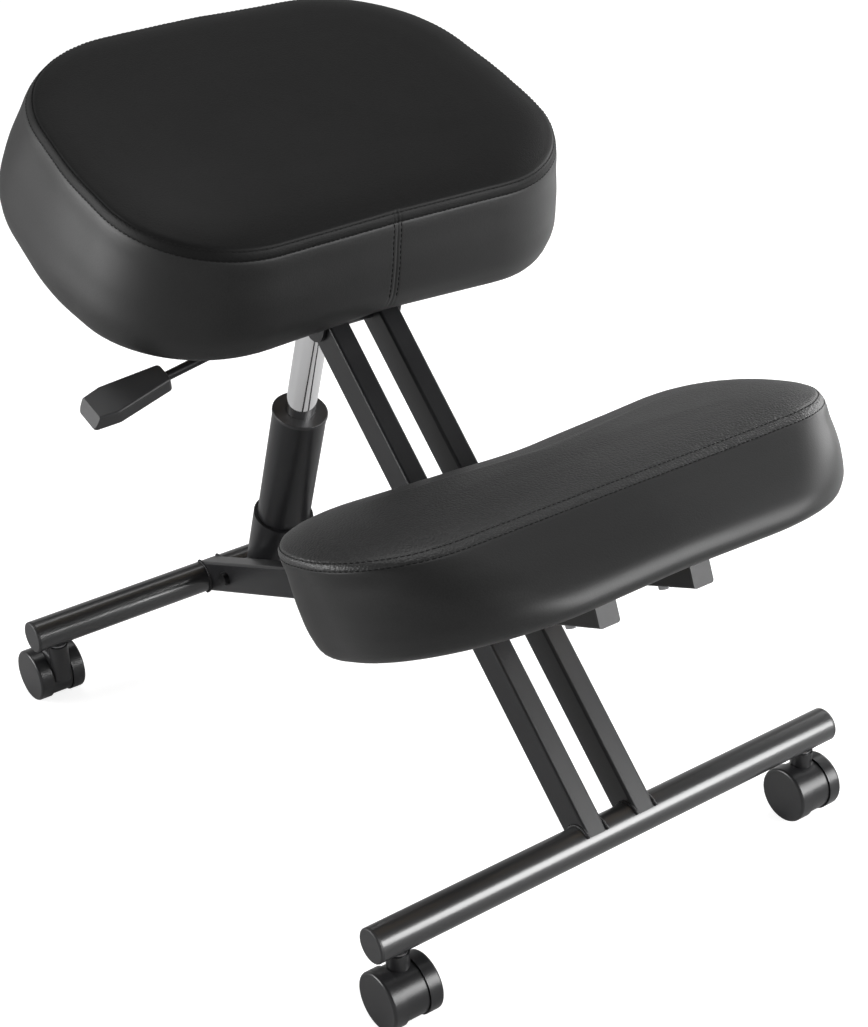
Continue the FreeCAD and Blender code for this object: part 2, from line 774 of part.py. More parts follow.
def axle(trail):
    half = hood_width / 2 + wheel_gap + wheel_width - wheel_face_t - wheel_gap
    return bar(-half, half, axle_d / 2, Vector(0, trail, wheel_d / 2))


def hood(trail, braked):
    """The disc between the wheels, with the boss that turns on the stem."""
    half = hood_width / 2
    centre = Vector(0, trail, wheel_d / 2)
    body = bar(-half, half, hood_radius, centre)
    boss_top = tube_height - tube_od / 2 - stem_flange_t - boss_gap
    body = body.fuse(upright(boss_od / 2, wheel_d / 2, boss_top))
    if braked:
        spine_top = hood_top - 4
        spine = rounded_box(hood_width, spine_top - wheel_d / 2, trail + pedal_back, spine_r)
        spine.translate(Vector(0, 0, (spine_top + wheel_d / 2) / 2))
        body = body.fuse(spine)
    body = body.removeSplitter()
    body = body.cut(upright(stem_d / 2 + pivot_clearance, stem_bottom - 1, boss_top))
    body = body.cut(bar(-half, half, axle_d / 2, centre))
    if braked:
        slot_half = pedal_hub_width / 2 + pedal_gap
        slot = bar(-slot_half, slot_half, pedal_hub_d / 2 + pedal_gap, pedal_axis(trail))
        mouth = Part.makeBox(2 * slot_half, 40, 40)
        mouth.translate(Vector(-slot_half, pedal_axis(trail).y, pedal_height - pedal_hub_d / 2 - pedal_gap))
        upper = Part.makeBox(2 * slot_half, 40, 20)
        upper.translate(Vector(-slot_half, pedal_axis(trail).y - pedal_hub_d / 2 - pedal_gap, pedal_height))
        body = body.cut(slot).cut(mouth).cut(upper)
        body = body.cut(bar(-half, half, 1.5 + pivot_clearance, pedal_axis(trail)))
    return body


def pedal_axis(trail):
    return Vector(0, trail + pedal_back - pedal_hub_d / 2, pedal_height)


def brake_pedal(trail):
    """A tongue behind the hood, rocking on its own trunnions."""
    axis = pedal_axis(trail)
    hub = bar(-pedal_hub_width / 2, pedal_hub_width / 2, pedal_hub_d / 2, axis)
    pin = bar(-hood_width / 2, hood_width / 2, 1.5, axis)
    neck = Part.makeBox(pedal_hub_width, 8, pedal_t)
    neck.translate(Vector(-pedal_hub_width / 2, axis.y, axis.z + pedal_hub_d / 2 - pedal_t))
    hx, top = pedal_width / 2, axis.z + pedal_hub_d / 2
    start, end = axis.y + pedal_hub_d / 2 + pedal_gap + 0.5, axis.y + pedal_length
    corners = [(-hx, start, 1), (hx, start, 1), (hx - 2, end, 6), (-hx + 2, end, 6)]
    wire = rounded([(Vector(x, y, top - pedal_t), r) for x, y, r in corners])
    tongue = Part.Face(wire).extrude(Vector(0, 0, pedal_t))
    return hub.fuse(pin).fuse(neck).fuse(tongue).removeSplitter()


def build_rear_frame():
    save("rear_foot_tube", foot_tube(rear_y))
    save("rear_tube_caps", *tube_caps(rear_y))
    save("rear_castor_sockets", *castor_sockets(rear_y))
    save("rear_castor_stems", *castor_stems(rear_y))
    save("outer_beam_left", outer_beam(LEFT))
    save("outer_beam_right", outer_beam(RIGHT))
    save("outer_beam_caps", *beam_caps(outer_beam_length, outer_frame, outer_x, -1))
    save("scissor_bolt", through_bolt(pivot, outer_outside, LEFT))
    save("scissor_nut", through_nut(pivot, outer_outside, RIGHT))
    save("column_hinge_bolt", through_bolt(column_base, outer_outside, LEFT))
    save("column_hinge_nut", through_nut(column_base, outer_outside, RIGHT))
    pad_frame = outer_frame.multiply(Placement(Vector(0, -pad_reference, 0), Rotation()))
    save("knee_pad_board", put(knee_pad_board(), pad_frame))
    save("knee_pad_cushion", put(knee_pad_cushion(), pad_frame))
    save("knee_pad_bolts", *[put(bolt, pad_frame) for bolt in knee_pad_bolts()])


def build_front_frame():
    inner_length = seat_hinge_up + inner_beam_past_hinge
    save("front_foot_tube", foot_tube(front_y))
    save("front_tube_caps", *tube_caps(front_y))
    save("front_castor_sockets", *castor_sockets(front_y))
    save("front_castor_stems", *castor_stems(front_y))
    save("inner_beam_left", inner_beam(LEFT))
    save("inner_beam_right", inner_beam(RIGHT))
    save("inner_beam_caps", *beam_caps(inner_length, inner_frame, inner_x, 1))
    save("scissor_bushes", *scissor_bushes())
    save("scissor_spacer_tube", cross_sleeve(pivot, spacer_od, bolt_d / 2 + 0.5))
    save("seat_hinge_sleeve", cross_sleeve(seat_hinge, seat_sleeve_od, seat_pin_d / 2 + linkage_clearance))


def build_column():
    save("column_hinge_sleeve", put(column_hinge_sleeve(), column_frame))
    save("column_cup", put(column_cup(), column_frame))
    save("column_tube", put(column_tube(), column_frame))
    save("column_guide_bush", put(column_guide_bush(), column_frame))
    save("piston_rod", put(piston_rod(), column_frame))
    save("piston_clip", put(piston_clip(), column_frame))


def build_seat():
    save("gas_lift_cylinder", put(lift_cylinder(), column_frame))
    save("taper_socket", put(taper_socket(), column_frame))
    save("seat_bracket", put(seat_bracket(), column_frame))
    save("seat_hinge_pin", put(seat_hinge_pin(), column_frame))
    save("seat_hinge_nut", put(seat_hinge_nut(), column_frame))
    save("seat_board", put(seat_board(), column_frame))
    save("seat_cushion", put(seat_cushion(), column_frame))
    save("seat_screws", *[put(screw, column_frame) for screw in seat_screws()])
    save("lever_bush", put(lever_bush(), column_frame))
    save("lever_rod", put(lever_rod(), column_frame))
    save("lever_paddle", put(lever_paddle(), column_frame))
    save("release_button", put(release_button(), column_frame))


def build_castors():
    for name, side, y, trail in castor_places():
        place = Placement(Vector(side * castor_x, y, 0), Rotation())
        braked = y == rear_y
        save(name + "_castor_hood", put(hood(trail, braked), place))
        save(name + "_axle", put(axle(trail), place))
        save(name + "_outer_wheel", put(wheel(side, trail), place))
        save(name + "_inner_wheel", put(wheel(-side, trail), place))
        if braked:
            save(name + "_brake_pedal", put(brake_pedal(trail), place))


os.makedirs("parts", exist_ok=True)
build_rear_frame()
build_front_frame()
build_column()
build_seat()
build_castors()
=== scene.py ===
import json
import math

import bpy
import numpy as np
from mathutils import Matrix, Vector


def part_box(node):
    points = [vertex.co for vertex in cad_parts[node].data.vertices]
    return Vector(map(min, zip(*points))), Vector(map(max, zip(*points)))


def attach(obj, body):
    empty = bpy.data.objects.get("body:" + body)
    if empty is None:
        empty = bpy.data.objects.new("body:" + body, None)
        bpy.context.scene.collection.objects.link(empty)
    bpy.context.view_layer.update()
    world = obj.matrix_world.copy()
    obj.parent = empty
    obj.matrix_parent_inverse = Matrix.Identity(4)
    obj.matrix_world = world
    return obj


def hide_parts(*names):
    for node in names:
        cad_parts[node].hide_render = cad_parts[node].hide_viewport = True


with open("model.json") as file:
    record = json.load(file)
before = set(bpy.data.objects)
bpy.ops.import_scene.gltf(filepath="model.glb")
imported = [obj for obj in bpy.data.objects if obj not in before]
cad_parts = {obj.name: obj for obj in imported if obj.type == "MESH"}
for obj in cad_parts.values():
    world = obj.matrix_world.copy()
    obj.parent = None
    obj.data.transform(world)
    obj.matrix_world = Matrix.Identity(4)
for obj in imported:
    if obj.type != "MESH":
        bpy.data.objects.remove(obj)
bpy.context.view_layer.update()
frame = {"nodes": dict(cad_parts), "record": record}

MM = 0.001

# Where the linkage stands: lengths in millimetres, angles in degrees
front_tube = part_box("front_foot_tube")
rear_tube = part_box("rear_foot_tube")
FRONT_Y = (front_tube[0][1] + front_tube[1][1]) / 2 / MM
REAR_Y = (rear_tube[0][1] + rear_tube[1][1]) / 2 / MM
TUBE_Z = 79.0
TUBE_R = 15.0
INNER_RISE = 42.6
OUTER_RISE = 22.8
COLUMN_LEAN = 16.95
COLUMN_HINGE_UP = 48.8
PAD_REFERENCE = 491.0


def turned(points, angle):
    """Points turned about X by an angle in degrees."""
    a = math.radians(angle)
    y = points[:, 1] * math.cos(a) - points[:, 2] * math.sin(a)
    z = points[:, 1] * math.sin(a) + points[:, 2] * math.cos(a)
    return np.column_stack([points[:, 0], y, z])


def on_outer(points):
    """From the outer beams' own frame to the chair's."""
    return turned(np.atleast_2d(np.asarray(points, float)), -OUTER_RISE) + [0, REAR_Y, TUBE_Z]


def on_inner(points):
    """From the inner beams' own frame to the chair's."""
    return turned(np.atleast_2d(np.asarray(points, float)), INNER_RISE) + [0, FRONT_Y, TUBE_Z]


COLUMN_BASE = on_outer([0, -COLUMN_HINGE_UP, 0])[0]


def on_column(points):
    """From the leaning column's own frame to the chair's."""
    return turned(np.atleast_2d(np.asarray(points, float)), COLUMN_LEAN) + COLUMN_BASE


def on_pad(points):
    """From the knee pad's own frame to the chair's."""
    shifted = np.atleast_2d(np.asarray(points, float)) - [0, PAD_REFERENCE, 0]
    return on_outer(shifted)


# Shader helpers

def nodes_of(material):
    """An emptied tree with a Principled shader joined to its output."""
    material.use_nodes = True
    tree = material.node_tree
    tree.nodes.clear()
    out = tree.nodes.new("ShaderNodeOutputMaterial")
    shader = tree.nodes.new("ShaderNodeBsdfPrincipled")
    tree.links.new(shader.outputs["BSDF"], out.inputs["Surface"])
    return tree, shader


def group_socket(tree, name, kind, direction, default=None):
    socket = tree.interface.new_socket(name=name, in_out=direction, socket_type=kind)
    if default is not None:
        socket.default_value = default
    return socket


def noise(tree, vector, scale, detail=2.0, rough=0.5):
    node = tree.nodes.new("ShaderNodeTexNoise")
    node.inputs["Scale"].default_value = scale
    node.inputs["Detail"].default_value = detail
    node.inputs["Roughness"].default_value = rough
    tree.links.new(vector, node.inputs["Vector"])
    return node.outputs["Fac"]


def mix_value(tree, low, high, factor):
    node = tree.nodes.new("ShaderNodeMapRange")
    node.inputs["To Min"].default_value = low
    node.inputs["To Max"].default_value = high
    tree.links.new(factor, node.inputs["Value"])
    return node.outputs["Result"]


def mix_colour(tree, a, b, factor):
    node = tree.nodes.new("ShaderNodeMix")
    node.data_type = "RGBA"
    node.inputs["A"].default_value = (*a, 1)
    node.inputs["B"].default_value = (*b, 1)
    tree.links.new(factor, node.inputs["Factor"])
    return node.outputs["Result"]


def math_node(tree, operation, a, b):
    node = tree.nodes.new("ShaderNodeMath")
    node.operation = operation
    for socket, value in zip(node.inputs, (a, b)):
        if isinstance(value, (int, float)):
            socket.default_value = value
        else:
            tree.links.new(value, socket)
    return node.outputs[0]


def fine_finish():
    """Shared effect: a fine surface ripple with cloudy variation."""
    tree = bpy.data.node_groups.new("fine_finish", "ShaderNodeTree")
    group_socket(tree, "Grain scale", "NodeSocketFloat", "INPUT", 900.0)
    group_socket(tree, "Bump distance", "NodeSocketFloat", "INPUT", 0.00003)
    group_socket(tree, "Variation", "NodeSocketFloat", "OUTPUT")
    group_socket(tree, "Normal", "NodeSocketVector", "OUTPUT")
    start = tree.nodes.new("NodeGroupInput")
    end = tree.nodes.new("NodeGroupOutput")
    place = tree.nodes.new("ShaderNodeTexCoord").outputs["Object"]
    cloud = noise(tree, place, 14.0, 4.0, 0.6)
    grain = tree.nodes.new("ShaderNodeTexNoise")
    grain.inputs["Detail"].default_value = 2.0
    tree.links.new(place, grain.inputs["Vector"])
    tree.links.new(start.outputs["Grain scale"], grain.inputs["Scale"])
    bump = tree.nodes.new("ShaderNodeBump")
    bump.inputs["Strength"].default_value = 1.0
    tree.links.new(start.outputs["Bump distance"], bump.inputs["Distance"])
    tree.links.new(grain.outputs["Fac"], bump.inputs["Height"])
    tree.links.new(cloud, end.inputs["Variation"])
    tree.links.new(bump.outputs["Normal"], end.inputs["Normal"])
    return tree


FINE = fine_finish()


def finished(name, dark, light, rough, metallic=0.0, grain=900.0, bump=0.00003, specular=0.5, coat=0.0):
    """A hard finish: a little colour and gloss variation over a fine grain."""
    material = bpy.data.materials.new(name)
    tree, shader = nodes_of(material)
    fine = tree.nodes.new("ShaderNodeGroup")
    fine.node_tree = FINE
    fine.inputs["Grain scale"].default_value = grain
    fine.inputs["Bump distance"].default_value = bump
    variation = fine.outputs["Variation"]
    tree.links.new(mix_colour(tree, dark, light, variation), shader.inputs["Base Color"])
    tree.links.new(mix_value(tree, rough[0], rough[1], variation), shader.inputs["Roughness"])
    tree.links.new(fine.outputs["Normal"], shader.inputs["Normal"])
    shader.inputs["Metallic"].default_value = metallic
    shader.inputs["Specular IOR Level"].default_value = specular
    if coat:
        shader.inputs["Coat Weight"].default_value = coat
        shader.inputs["Coat Roughness"].default_value = 0.12
    return material


def pebble_grain():
    """Shared effect: the pebbles and creases of a leather-like cover."""
    tree = bpy.data.node_groups.new("pebble_grain", "ShaderNodeTree")
    group_socket(tree, "Pebble scale", "NodeSocketFloat", "INPUT", 700.0)
    group_socket(tree, "Depth", "NodeSocketFloat", "INPUT", 0.00012)
    group_socket(tree, "Pebbles", "NodeSocketFloat", "OUTPUT")
    group_socket(tree, "Variation", "NodeSocketFloat", "OUTPUT")
    group_socket(tree, "Normal", "NodeSocketVector", "OUTPUT")
    start = tree.nodes.new("NodeGroupInput")
    end = tree.nodes.new("NodeGroupOutput")
    place = tree.nodes.new("ShaderNodeTexCoord").outputs["Object"]
    cells = tree.nodes.new("ShaderNodeTexVoronoi")
    cells.feature = "SMOOTH_F1"
    cells.inputs["Smoothness"].default_value = 0.6
    tree.links.new(place, cells.inputs["Vector"])
    tree.links.new(start.outputs["Pebble scale"], cells.inputs["Scale"])
    cloud = noise(tree, place, 9.0, 3.0, 0.55)
    fine = noise(tree, place, 1900.0, 2.0, 0.5)
    height = math_node(tree, "ADD", cells.outputs["Distance"], math_node(tree, "MULTIPLY", fine, 0.35))
    bump = tree.nodes.new("ShaderNodeBump")
    bump.invert = True
    tree.links.new(start.outputs["Depth"], bump.inputs["Distance"])
    tree.links.new(height, bump.inputs["Height"])
    tree.links.new(cells.outputs["Distance"], end.inputs["Pebbles"])
    tree.links.new(cloud, end.inputs["Variation"])
    tree.links.new(bump.outputs["Normal"], end.inputs["Normal"])
    return tree


PEBBLES = pebble_grain()


def leather(name, dark, light, rough, depth, pebble=700.0, specular=0.5):
    """A pebbled cover whose colour and gloss drift a little."""
    material = bpy.data.materials.new(name)
    tree, shader = nodes_of(material)
    grain = tree.nodes.new("ShaderNodeGroup")
    grain.node_tree = PEBBLES
    grain.inputs["Pebble scale"].default_value = pebble
    grain.inputs["Depth"].default_value = depth
    shade = math_node(tree, "MULTIPLY", grain.outputs["Pebbles"], grain.outputs["Variation"])
    tree.links.new(mix_colour(tree, light, dark, shade), shader.inputs["Base Color"])
    gloss = mix_value(tree, rough[0], rough[1], grain.outputs["Variation"])
    tree.links.new(gloss, shader.inputs["Roughness"])
    tree.links.new(grain.outputs["Normal"], shader.inputs["Normal"])
    shader.inputs["Specular IOR Level"].default_value = specular
    return material


def plywood():
    """Birch with its grain drawn out along the board."""
    material = bpy.data.materials.new("birch_ply")
    tree, shader = nodes_of(material)
    place = tree.nodes.new("ShaderNodeTexCoord").outputs["Object"]
    stretch = tree.nodes.new("ShaderNodeMapping")
    stretch.inputs["Scale"].default_value = (6, 90, 260)
    tree.links.new(place, stretch.inputs["Vector"])
    grain = noise(tree, stretch.outputs["Vector"], 1.0, 4.0, 0.6)
    pale, brown = (0.62, 0.47, 0.30), (0.38, 0.26, 0.15)
    tree.links.new(mix_colour(tree, pale, brown, grain), shader.inputs["Base Color"])
    shader.inputs["Roughness"].default_value = 0.6
    return material


POWDER = finished(
    "powder_black", (0.009, 0.009, 0.010), (0.015, 0.015, 0.016), (0.30, 0.38),
    grain=700.0, bump=0.00004, specular=0.38,
)
TUBE_BLACK = finished(
    "tube_black", (0.014, 0.014, 0.015), (0.022, 0.022, 0.023), (0.28, 0.36),
    grain=500.0, bump=0.00001, specular=0.8, coat=0.3,
)
CHROME = finished(
    "chrome", (0.82, 0.82, 0.83), (0.90, 0.90, 0.91), (0.05, 0.09), metallic=1.0, bump=0.000004
)
ZINC = finished("zinc", (0.30, 0.30, 0.31), (0.42, 0.42, 0.43), (0.28, 0.42), metallic=1.0)
DARK_STEEL = finished(
    "dark_steel", (0.05, 0.05, 0.052), (0.09, 0.09, 0.092), (0.25, 0.4), metallic=1.0
)
PLASTIC = finished(
    "plastic_black", (0.018, 0.018, 0.019), (0.028, 0.028, 0.029), (0.42, 0.52),
    grain=1600.0, bump=0.00004,
)
NYLON = finished(
    "castor_nylon", (0.012, 0.012, 0.013), (0.022, 0.022, 0.023), (0.24, 0.36),
    grain=1200.0, bump=0.00002,
)
# Painted shade: the seat's top leather is a darker, duller copy of the band's leather, standing in for
# the shade on the up-facing top
SHADED_TOP_LEATHER = leather(
    "leather_top_painted_shade", (0.003, 0.003, 0.003), (0.008, 0.008, 0.008), (0.48, 0.58), 0.00010,
    specular=0.16,
)
LEATHER_BAND = leather(
    "leather_band", (0.005, 0.005, 0.005), (0.012, 0.012, 0.012), (0.44, 0.52), 0.00004,
    specular=0.42,
)
PAD_TOP = leather(
    "leather_pad_top", (0.005, 0.005, 0.005), (0.018, 0.018, 0.018), (0.40, 0.50), 0.00034,
    pebble=520.0,
)
THREAD = finished(
    "thread", (0.004, 0.004, 0.004), (0.010, 0.010, 0.010), (0.7, 0.8),
    grain=3000.0, bump=0.00005, specular=0.2,
)
UNDER = finished(
    "under_cloth", (0.010, 0.010, 0.010), (0.020, 0.020, 0.020), (0.8, 0.9),
    grain=1500.0, bump=0.0001,
)
PLY = plywood()

FINISH = {
    "frame_black": POWDER,
    "chrome": CHROME,
    "steel": ZINC,
    "plastic_black": PLASTIC,
    "castor_plastic": NYLON,
    "plywood": PLY,
    "upholstery": LEATHER_BAND,
}
for entry in frame["record"]["subparts"]:
    node = frame["nodes"][entry["node"]]
    material = FINISH[entry["material_slot"]]
    if entry["node"].endswith("foot_tube"):
        material = TUBE_BLACK
    if entry["node"] in ("scissor_bolt", "scissor_nut", "column_hinge_bolt", "column_hinge_nut"):
        material = DARK_STEEL
    node.data.materials.clear()
    node.data.materials.append(material)


# Cushions

WAVES = 7
# Steps between the rows of a cover, which are closer about the seam
ROW_STEP, SEAM_STEP = 4.0, 0.8
FINE_BELOW, FINE_ABOVE = 13, 9
# The last given row closes over the top in rings that rise a little
CROWN_RINGS, CROWN_RISE = 12, 1.6
# The second stitched line runs this far below the seam, down the band
SECOND_LINE = 9.0
UPRIGHT_STITCH_X = 3.6
# Sizes of the slack in a cover and of the puckers along its seam
SLACK_SIZE, PUCKER_SIZE = 150.0, 26.0


def ring(corners):
    """Points round a closed outline of (corner, radius, arc samples, run samples)."""
    points = []
    for k, (corner, radius, count, run) in enumerate(corners):
        corner = np.array(corner, float)
        after = np.array(corners[(k + 1) % len(corners)][0], float)
        back = np.array(corners[k - 1][0], float) - corner
        ahead = after - corner
        back, ahead = back / np.linalg.norm(back), ahead / np.linalg.norm(ahead)
        half = math.acos(max(-1.0, min(1.0, float(ahead @ back)))) / 2
        bisector = (ahead + back) / np.linalg.norm(ahead + back)
        centre = corner + bisector * (radius / math.sin(half))
        reach = radius / math.tan(half)
        start, end = corner + back * reach - centre, corner + ahead * reach - centre
        sweep = math.pi - 2 * half
        for t in np.linspace(0, 1, count):
            arc = (math.sin((1 - t) * sweep) * start + math.sin(t * sweep) * end) / math.sin(sweep)
            points.append(centre + arc)
        points.append(("run", run))
    filled = []
    size = len(points)
    for k, point in enumerate(points):
        if isinstance(point, tuple):
            a, b = points[k - 1], points[(k + 1) % size]
            filled += [a + (b - a) * t for t in np.linspace(0, 1, point[1] + 2)[1:-1]]
        else:
            filled.append(point)
    return np.array(filled)


def spline_rows(rows, knots, wanted):
    """Rows at the wanted knots, on a smooth curve through the given rows."""
    rows = np.array(rows)
    knots = np.array(knots, float)
    slopes = np.zeros_like(rows)
    step = np.diff(knots)
    secant = (rows[1:] - rows[:-1]) / step[:, None, None]
    slopes[0], slopes[-1] = secant[0], secant[-1]
    for k in range(1, len(rows) - 1):
        a, b = step[k - 1], step[k]
        slopes[k] = (secant[k - 1] * b + secant[k] * a) / (a + b)
    out = []
    for value in wanted:
        k = int(np.clip(np.searchsorted(knots, value, side="right") - 1, 0, len(knots) - 2))
        t = (value - knots[k]) / step[k]
        out.append(
            rows[k] * (2 * t**3 - 3 * t**2 + 1)
            + slopes[k] * step[k] * (t**3 - 2 * t**2 + t)
            + rows[k + 1] * (3 * t**2 - 2 * t**3)
            + slopes[k + 1] * step[k] * (t**3 - t**2)
        )
    return np.array(out)


def smooth_noise(points, seed, size):
    """A gentle seeded wave field for the slack in a cover."""
    rng = np.random.default_rng(seed)
    total = np.zeros(len(points))
    for _ in range(WAVES):
        direction = rng.normal(size=3)
        direction /= np.linalg.norm(direction)
        rate = 2 * math.pi / size * rng.uniform(0.6, 1.5)
        total += np.sin(points @ direction * rate + rng.uniform(0, 6.3))
    return total / WAVES


def dent(distance, width):
    """1 on a line, falling off to each side of it."""
    return np.exp(-((distance / width) ** 2))


def cover_grid(rows, seam_index):
    """Closely spaced rows of a cover, and each row's way from the seam up its side."""
    gaps = [float(np.linalg.norm(b - a, axis=1).mean()) for a, b in zip(rows, rows[1:])]
    knots = np.concatenate([[0], np.cumsum(gaps)])
    seam = knots[seam_index]
    coarse = np.arange(0, knots[-1], ROW_STEP)
    coarse = coarse[(coarse < seam - FINE_BELOW) | (coarse > seam + FINE_ABOVE)]
    fine = np.arange(seam - FINE_BELOW, seam + FINE_ABOVE, SEAM_STEP)
    wanted = np.unique(np.concatenate([[0], coarse, fine, [knots[-1]]]))
    side = spline_rows(rows, knots, wanted)
    top = side[-1]
    middle = top.mean(axis=0)
    crown = [
        middle + (top - middle) * s + [0, 0, CROWN_RISE * (1 - s * s)]
        for s in np.linspace(1, 0, CROWN_RINGS)[1:-1]
    ]
    spacing = float(np.linalg.norm(top - middle, axis=1).mean()) / (CROWN_RINGS - 1)
    onward = knots[-1] - seam + spacing * np.arange(1, len(crown) + 1)
    return np.concatenate([side, np.array(crown)]), np.concatenate([wanted - seam, onward])


def grid_normals(grid):
    """The cover's outward directions, one for each point."""
    along = np.roll(grid, -1, axis=1) - np.roll(grid, 1, axis=1)
    across = np.gradient(grid, axis=0)
    normal = np.cross(along, across)
    return normal / np.maximum(np.linalg.norm(normal, axis=2, keepdims=True), 1e-9)


def sewn_relief(grid, away, seed, upright_seam):
    """How far the cover stands out: seam grooves, slack and puckers."""
    d = away[:, None]
    relief = -0.4 * dent(d, 0.8) + 0.08 * dent(d + 4.5, 2.6) - 0.35 * dent(d + SECOND_LINE, 0.9)
    points = grid.reshape(-1, 3)
    slack = smooth_noise(points, seed, SLACK_SIZE).reshape(grid.shape[:2])
    pucker = smooth_noise(points, seed + 1, PUCKER_SIZE).reshape(grid.shape[:2])
    settled = np.clip((d + 90) / 60, 0, 1) * np.clip((70 - d) / 40, 0, 1)
    relief = relief + 0.7 * slack * settled + 0.35 * pucker * np.exp(-np.abs(d) / 14.0)
    if upright_seam:
        on_front = (grid[:, :, 1] < 0) & (d < 2)
        x = grid[:, :, 0]
        grooves = -0.5 * dent(x, 0.8) - 0.25 * dent(np.abs(x) - UPRIGHT_STITCH_X, 0.8)
        relief = relief + on_front * grooves
    relief[:2] = 0
    return relief


def cushion(name, rows, seam_index, place, seed, finish, upright_seam=False):
    """A closed cover lofted through rows, with a sewn top seam."""
    grid, away = cover_grid(rows, seam_index)
    normal = grid_normals(grid)
    grid = grid + normal * sewn_relief(grid, away, seed, upright_seam)[:, :, None]
    count, around = grid.shape[:2]
    verts = [tuple(v) for v in place(grid.reshape(-1, 3)) * MM]
    bottom, peak = len(verts), len(verts) + 1
    verts.append(tuple(place(grid[0].mean(axis=0))[0] * MM))
    verts.append(tuple(place(grid[-1].mean(axis=0) + [0, 0, 0.05])[0] * MM))
    faces, finishes = [], []
    top_finish, band_finish, under_finish = 0, 1, 2
    for i in range(count - 1):
        # The top's finish reaches down to the second stitched line, so on the seat the darker top leather
        # paints shade over the strip of band below the seam
        on_top = (away[i] + away[i + 1]) / 2 > -SECOND_LINE
        for j in range(around):
            k = (j + 1) % around
            faces.append((i * around + j, i * around + k, (i + 1) * around + k, (i + 1) * around + j))
            finishes.append(top_finish if on_top else band_finish)
    last = (count - 1) * around
    for j in range(around):
        k = (j + 1) % around
        faces.append((bottom, k, j))
        finishes.append(under_finish)
        faces.append((peak, last + j, last + k))
        finishes.append(top_finish)
    mesh = bpy.data.meshes.new(name)
    mesh.from_pydata(verts, [], faces)
    for material in (finish, LEATHER_BAND, UNDER):
        mesh.materials.append(material)
    mesh.polygons.foreach_set("material_index", finishes)
    mesh.polygons.foreach_set("use_smooth", [True] * len(faces))
    mesh.update()
    obj = bpy.data.objects.new(name, mesh)
    bpy.context.collection.objects.link(obj)

    def line_at(distance, lift_by):
        """The cover's line at one distance from the seam, lifted a little."""
        i = int(np.argmin(np.abs(away - distance)))
        return place(grid[i] + normal[i] * lift_by) * MM

    return obj, line_at, (grid, normal, away)


def outward(obj):
    """Turns faces outwards if the closed mesh's volume comes out negative."""
    mesh = obj.data
    co = np.empty(len(mesh.vertices) * 3)
    mesh.vertices.foreach_get("co", co)
    co = co.reshape(-1, 3)
    mesh.calc_loop_triangles()
    tri = np.empty(len(mesh.loop_triangles) * 3, dtype=int)
    mesh.loop_triangles.foreach_get("vertices", tri)
    a, b, c = co[tri.reshape(-1, 3)].transpose(1, 0, 2)
    if np.einsum("ij,ij->", a, np.cross(b, c)) < 0:
        mesh.flip_normals()


SEAT_BASE, SEAT_SEAM, SEAT_CROWN = 367.5, 465.0, 12.5


def seat_row(grow, height, rear_r, front_hang=0.0, side_hang=0.0, side_out=0.0):
    """One row of the seat's cover: its outline grown or shrunk, its corners hanging lower."""
    side, front, rear = 212.0 + grow, -86.0 - grow, 225.0 + grow
    side_y = (front + rear) / 2 - 6
    side_r = 300.0 + 2.2 * min(grow, 0)
    right = [
        ((side - 2, front, height - front_hang), 100.0 + grow, 18, 6),
        ((side + 3 + side_out, side_y, height - side_hang), side_r, 10, 8),
        ((side - 14, rear - 2, height - side_hang), rear_r, 18, 8),
    ]
    left = [((-x, y, z), r, n, m) for (x, y, z), r, n, m in reversed(right)]
    left[0] = (*left[0][:3], 8)
    left[1] = (*left[1][:3], 6)
    left[2] = (*left[2][:3], 10)
    front_end = ((0, front + 4.0, height), 420.0, 21, 10)
    rear_end = ((0, rear + 4.5, height), 520.0, 9, 8)
    return ring([front_end] + right + [rear_end] + left)


band = SEAT_SEAM - SEAT_BASE
seat_rows = [seat_row(-40, SEAT_BASE + 1.0, 82.0), seat_row(-14, SEAT_BASE + 0.6, 108.0)]
# Growth, share of the band's height, front and side hang, rear radius, side push
for grow, share, front_hang, side_hang, rear_r, side_out in [
    (-5, -0.03, 6, 22, 104, 3),
    (7, 0.05, 8, 26, 104, 4),
    (13, 0.2, 5, 23, 104, 4),
    (12, 0.45, 1, 12, 106, 2),
    (6.5, 0.75, 0, 1, 116, 0),
    (3.5, 0.9, 0, 0, 119, 0),
    (-1, 1, 0, 0, 120, 0),
]:
    height = SEAT_BASE + band * share
    seat_rows.append(seat_row(grow, height, rear_r, front_hang, side_hang, side_out))
seam_row = len(seat_rows) - 1
for grow, share in [(-9, 0.28), (-22, 0.57), (-46, 0.84), (-80, 1.0)]:
    seat_rows.append(seat_row(grow, SEAT_SEAM + SEAT_CROWN * share, 120.0 + grow))
seat, seat_line, seat_grid = cushion(
    "seat_cover", seat_rows, seam_row, on_column, 5, SHADED_TOP_LEATHER, upright_seam=True
)

PAD_BASE, PAD_SEAM, PAD_FALL, PAD_CROWN = 15.0, 101.5, 5.8, 10.5


def pad_row(outline, height, fall=0.0, front_hang=0.0, rear_hang=0.0, notch_lift=0.0, grow=0.0):
    """One row of the knee pad's cover, which falls to the front and has a notch behind."""
    front, half, rear, notch, front_r, rear_r = outline
    front, half, rear, notch = front + grow, half + grow, rear + grow, notch + grow
    slope = math.tan(math.radians(fall))

    def at(x, y, lift):
        return (x, y, height + y * slope + lift)

    return ring([
        (at(0, -front - 1.5, 0), 900.0, 9, 10),
        (at(half, -front, -front_hang), front_r + grow, 20, 6),
        (at(half - 4, rear, -rear_hang), rear_r + grow, 20, 8),
        (at(0, notch, notch_lift), 150.0, 12, 8),
        (at(-half + 4, rear, -rear_hang), rear_r + grow, 20, 6),
        (at(-half, -front, -front_hang), front_r + grow, 20, 10),
    ])


# An outline is its front, half width, rear, notch, front radius and rear radius
PAD_FOOT = (158, 198, 15, -20, 104, 56)
pad_rows = [pad_row(PAD_FOOT, PAD_BASE + 1.0, grow=-16), pad_row(PAD_FOOT, PAD_BASE + 0.6, grow=-2)]
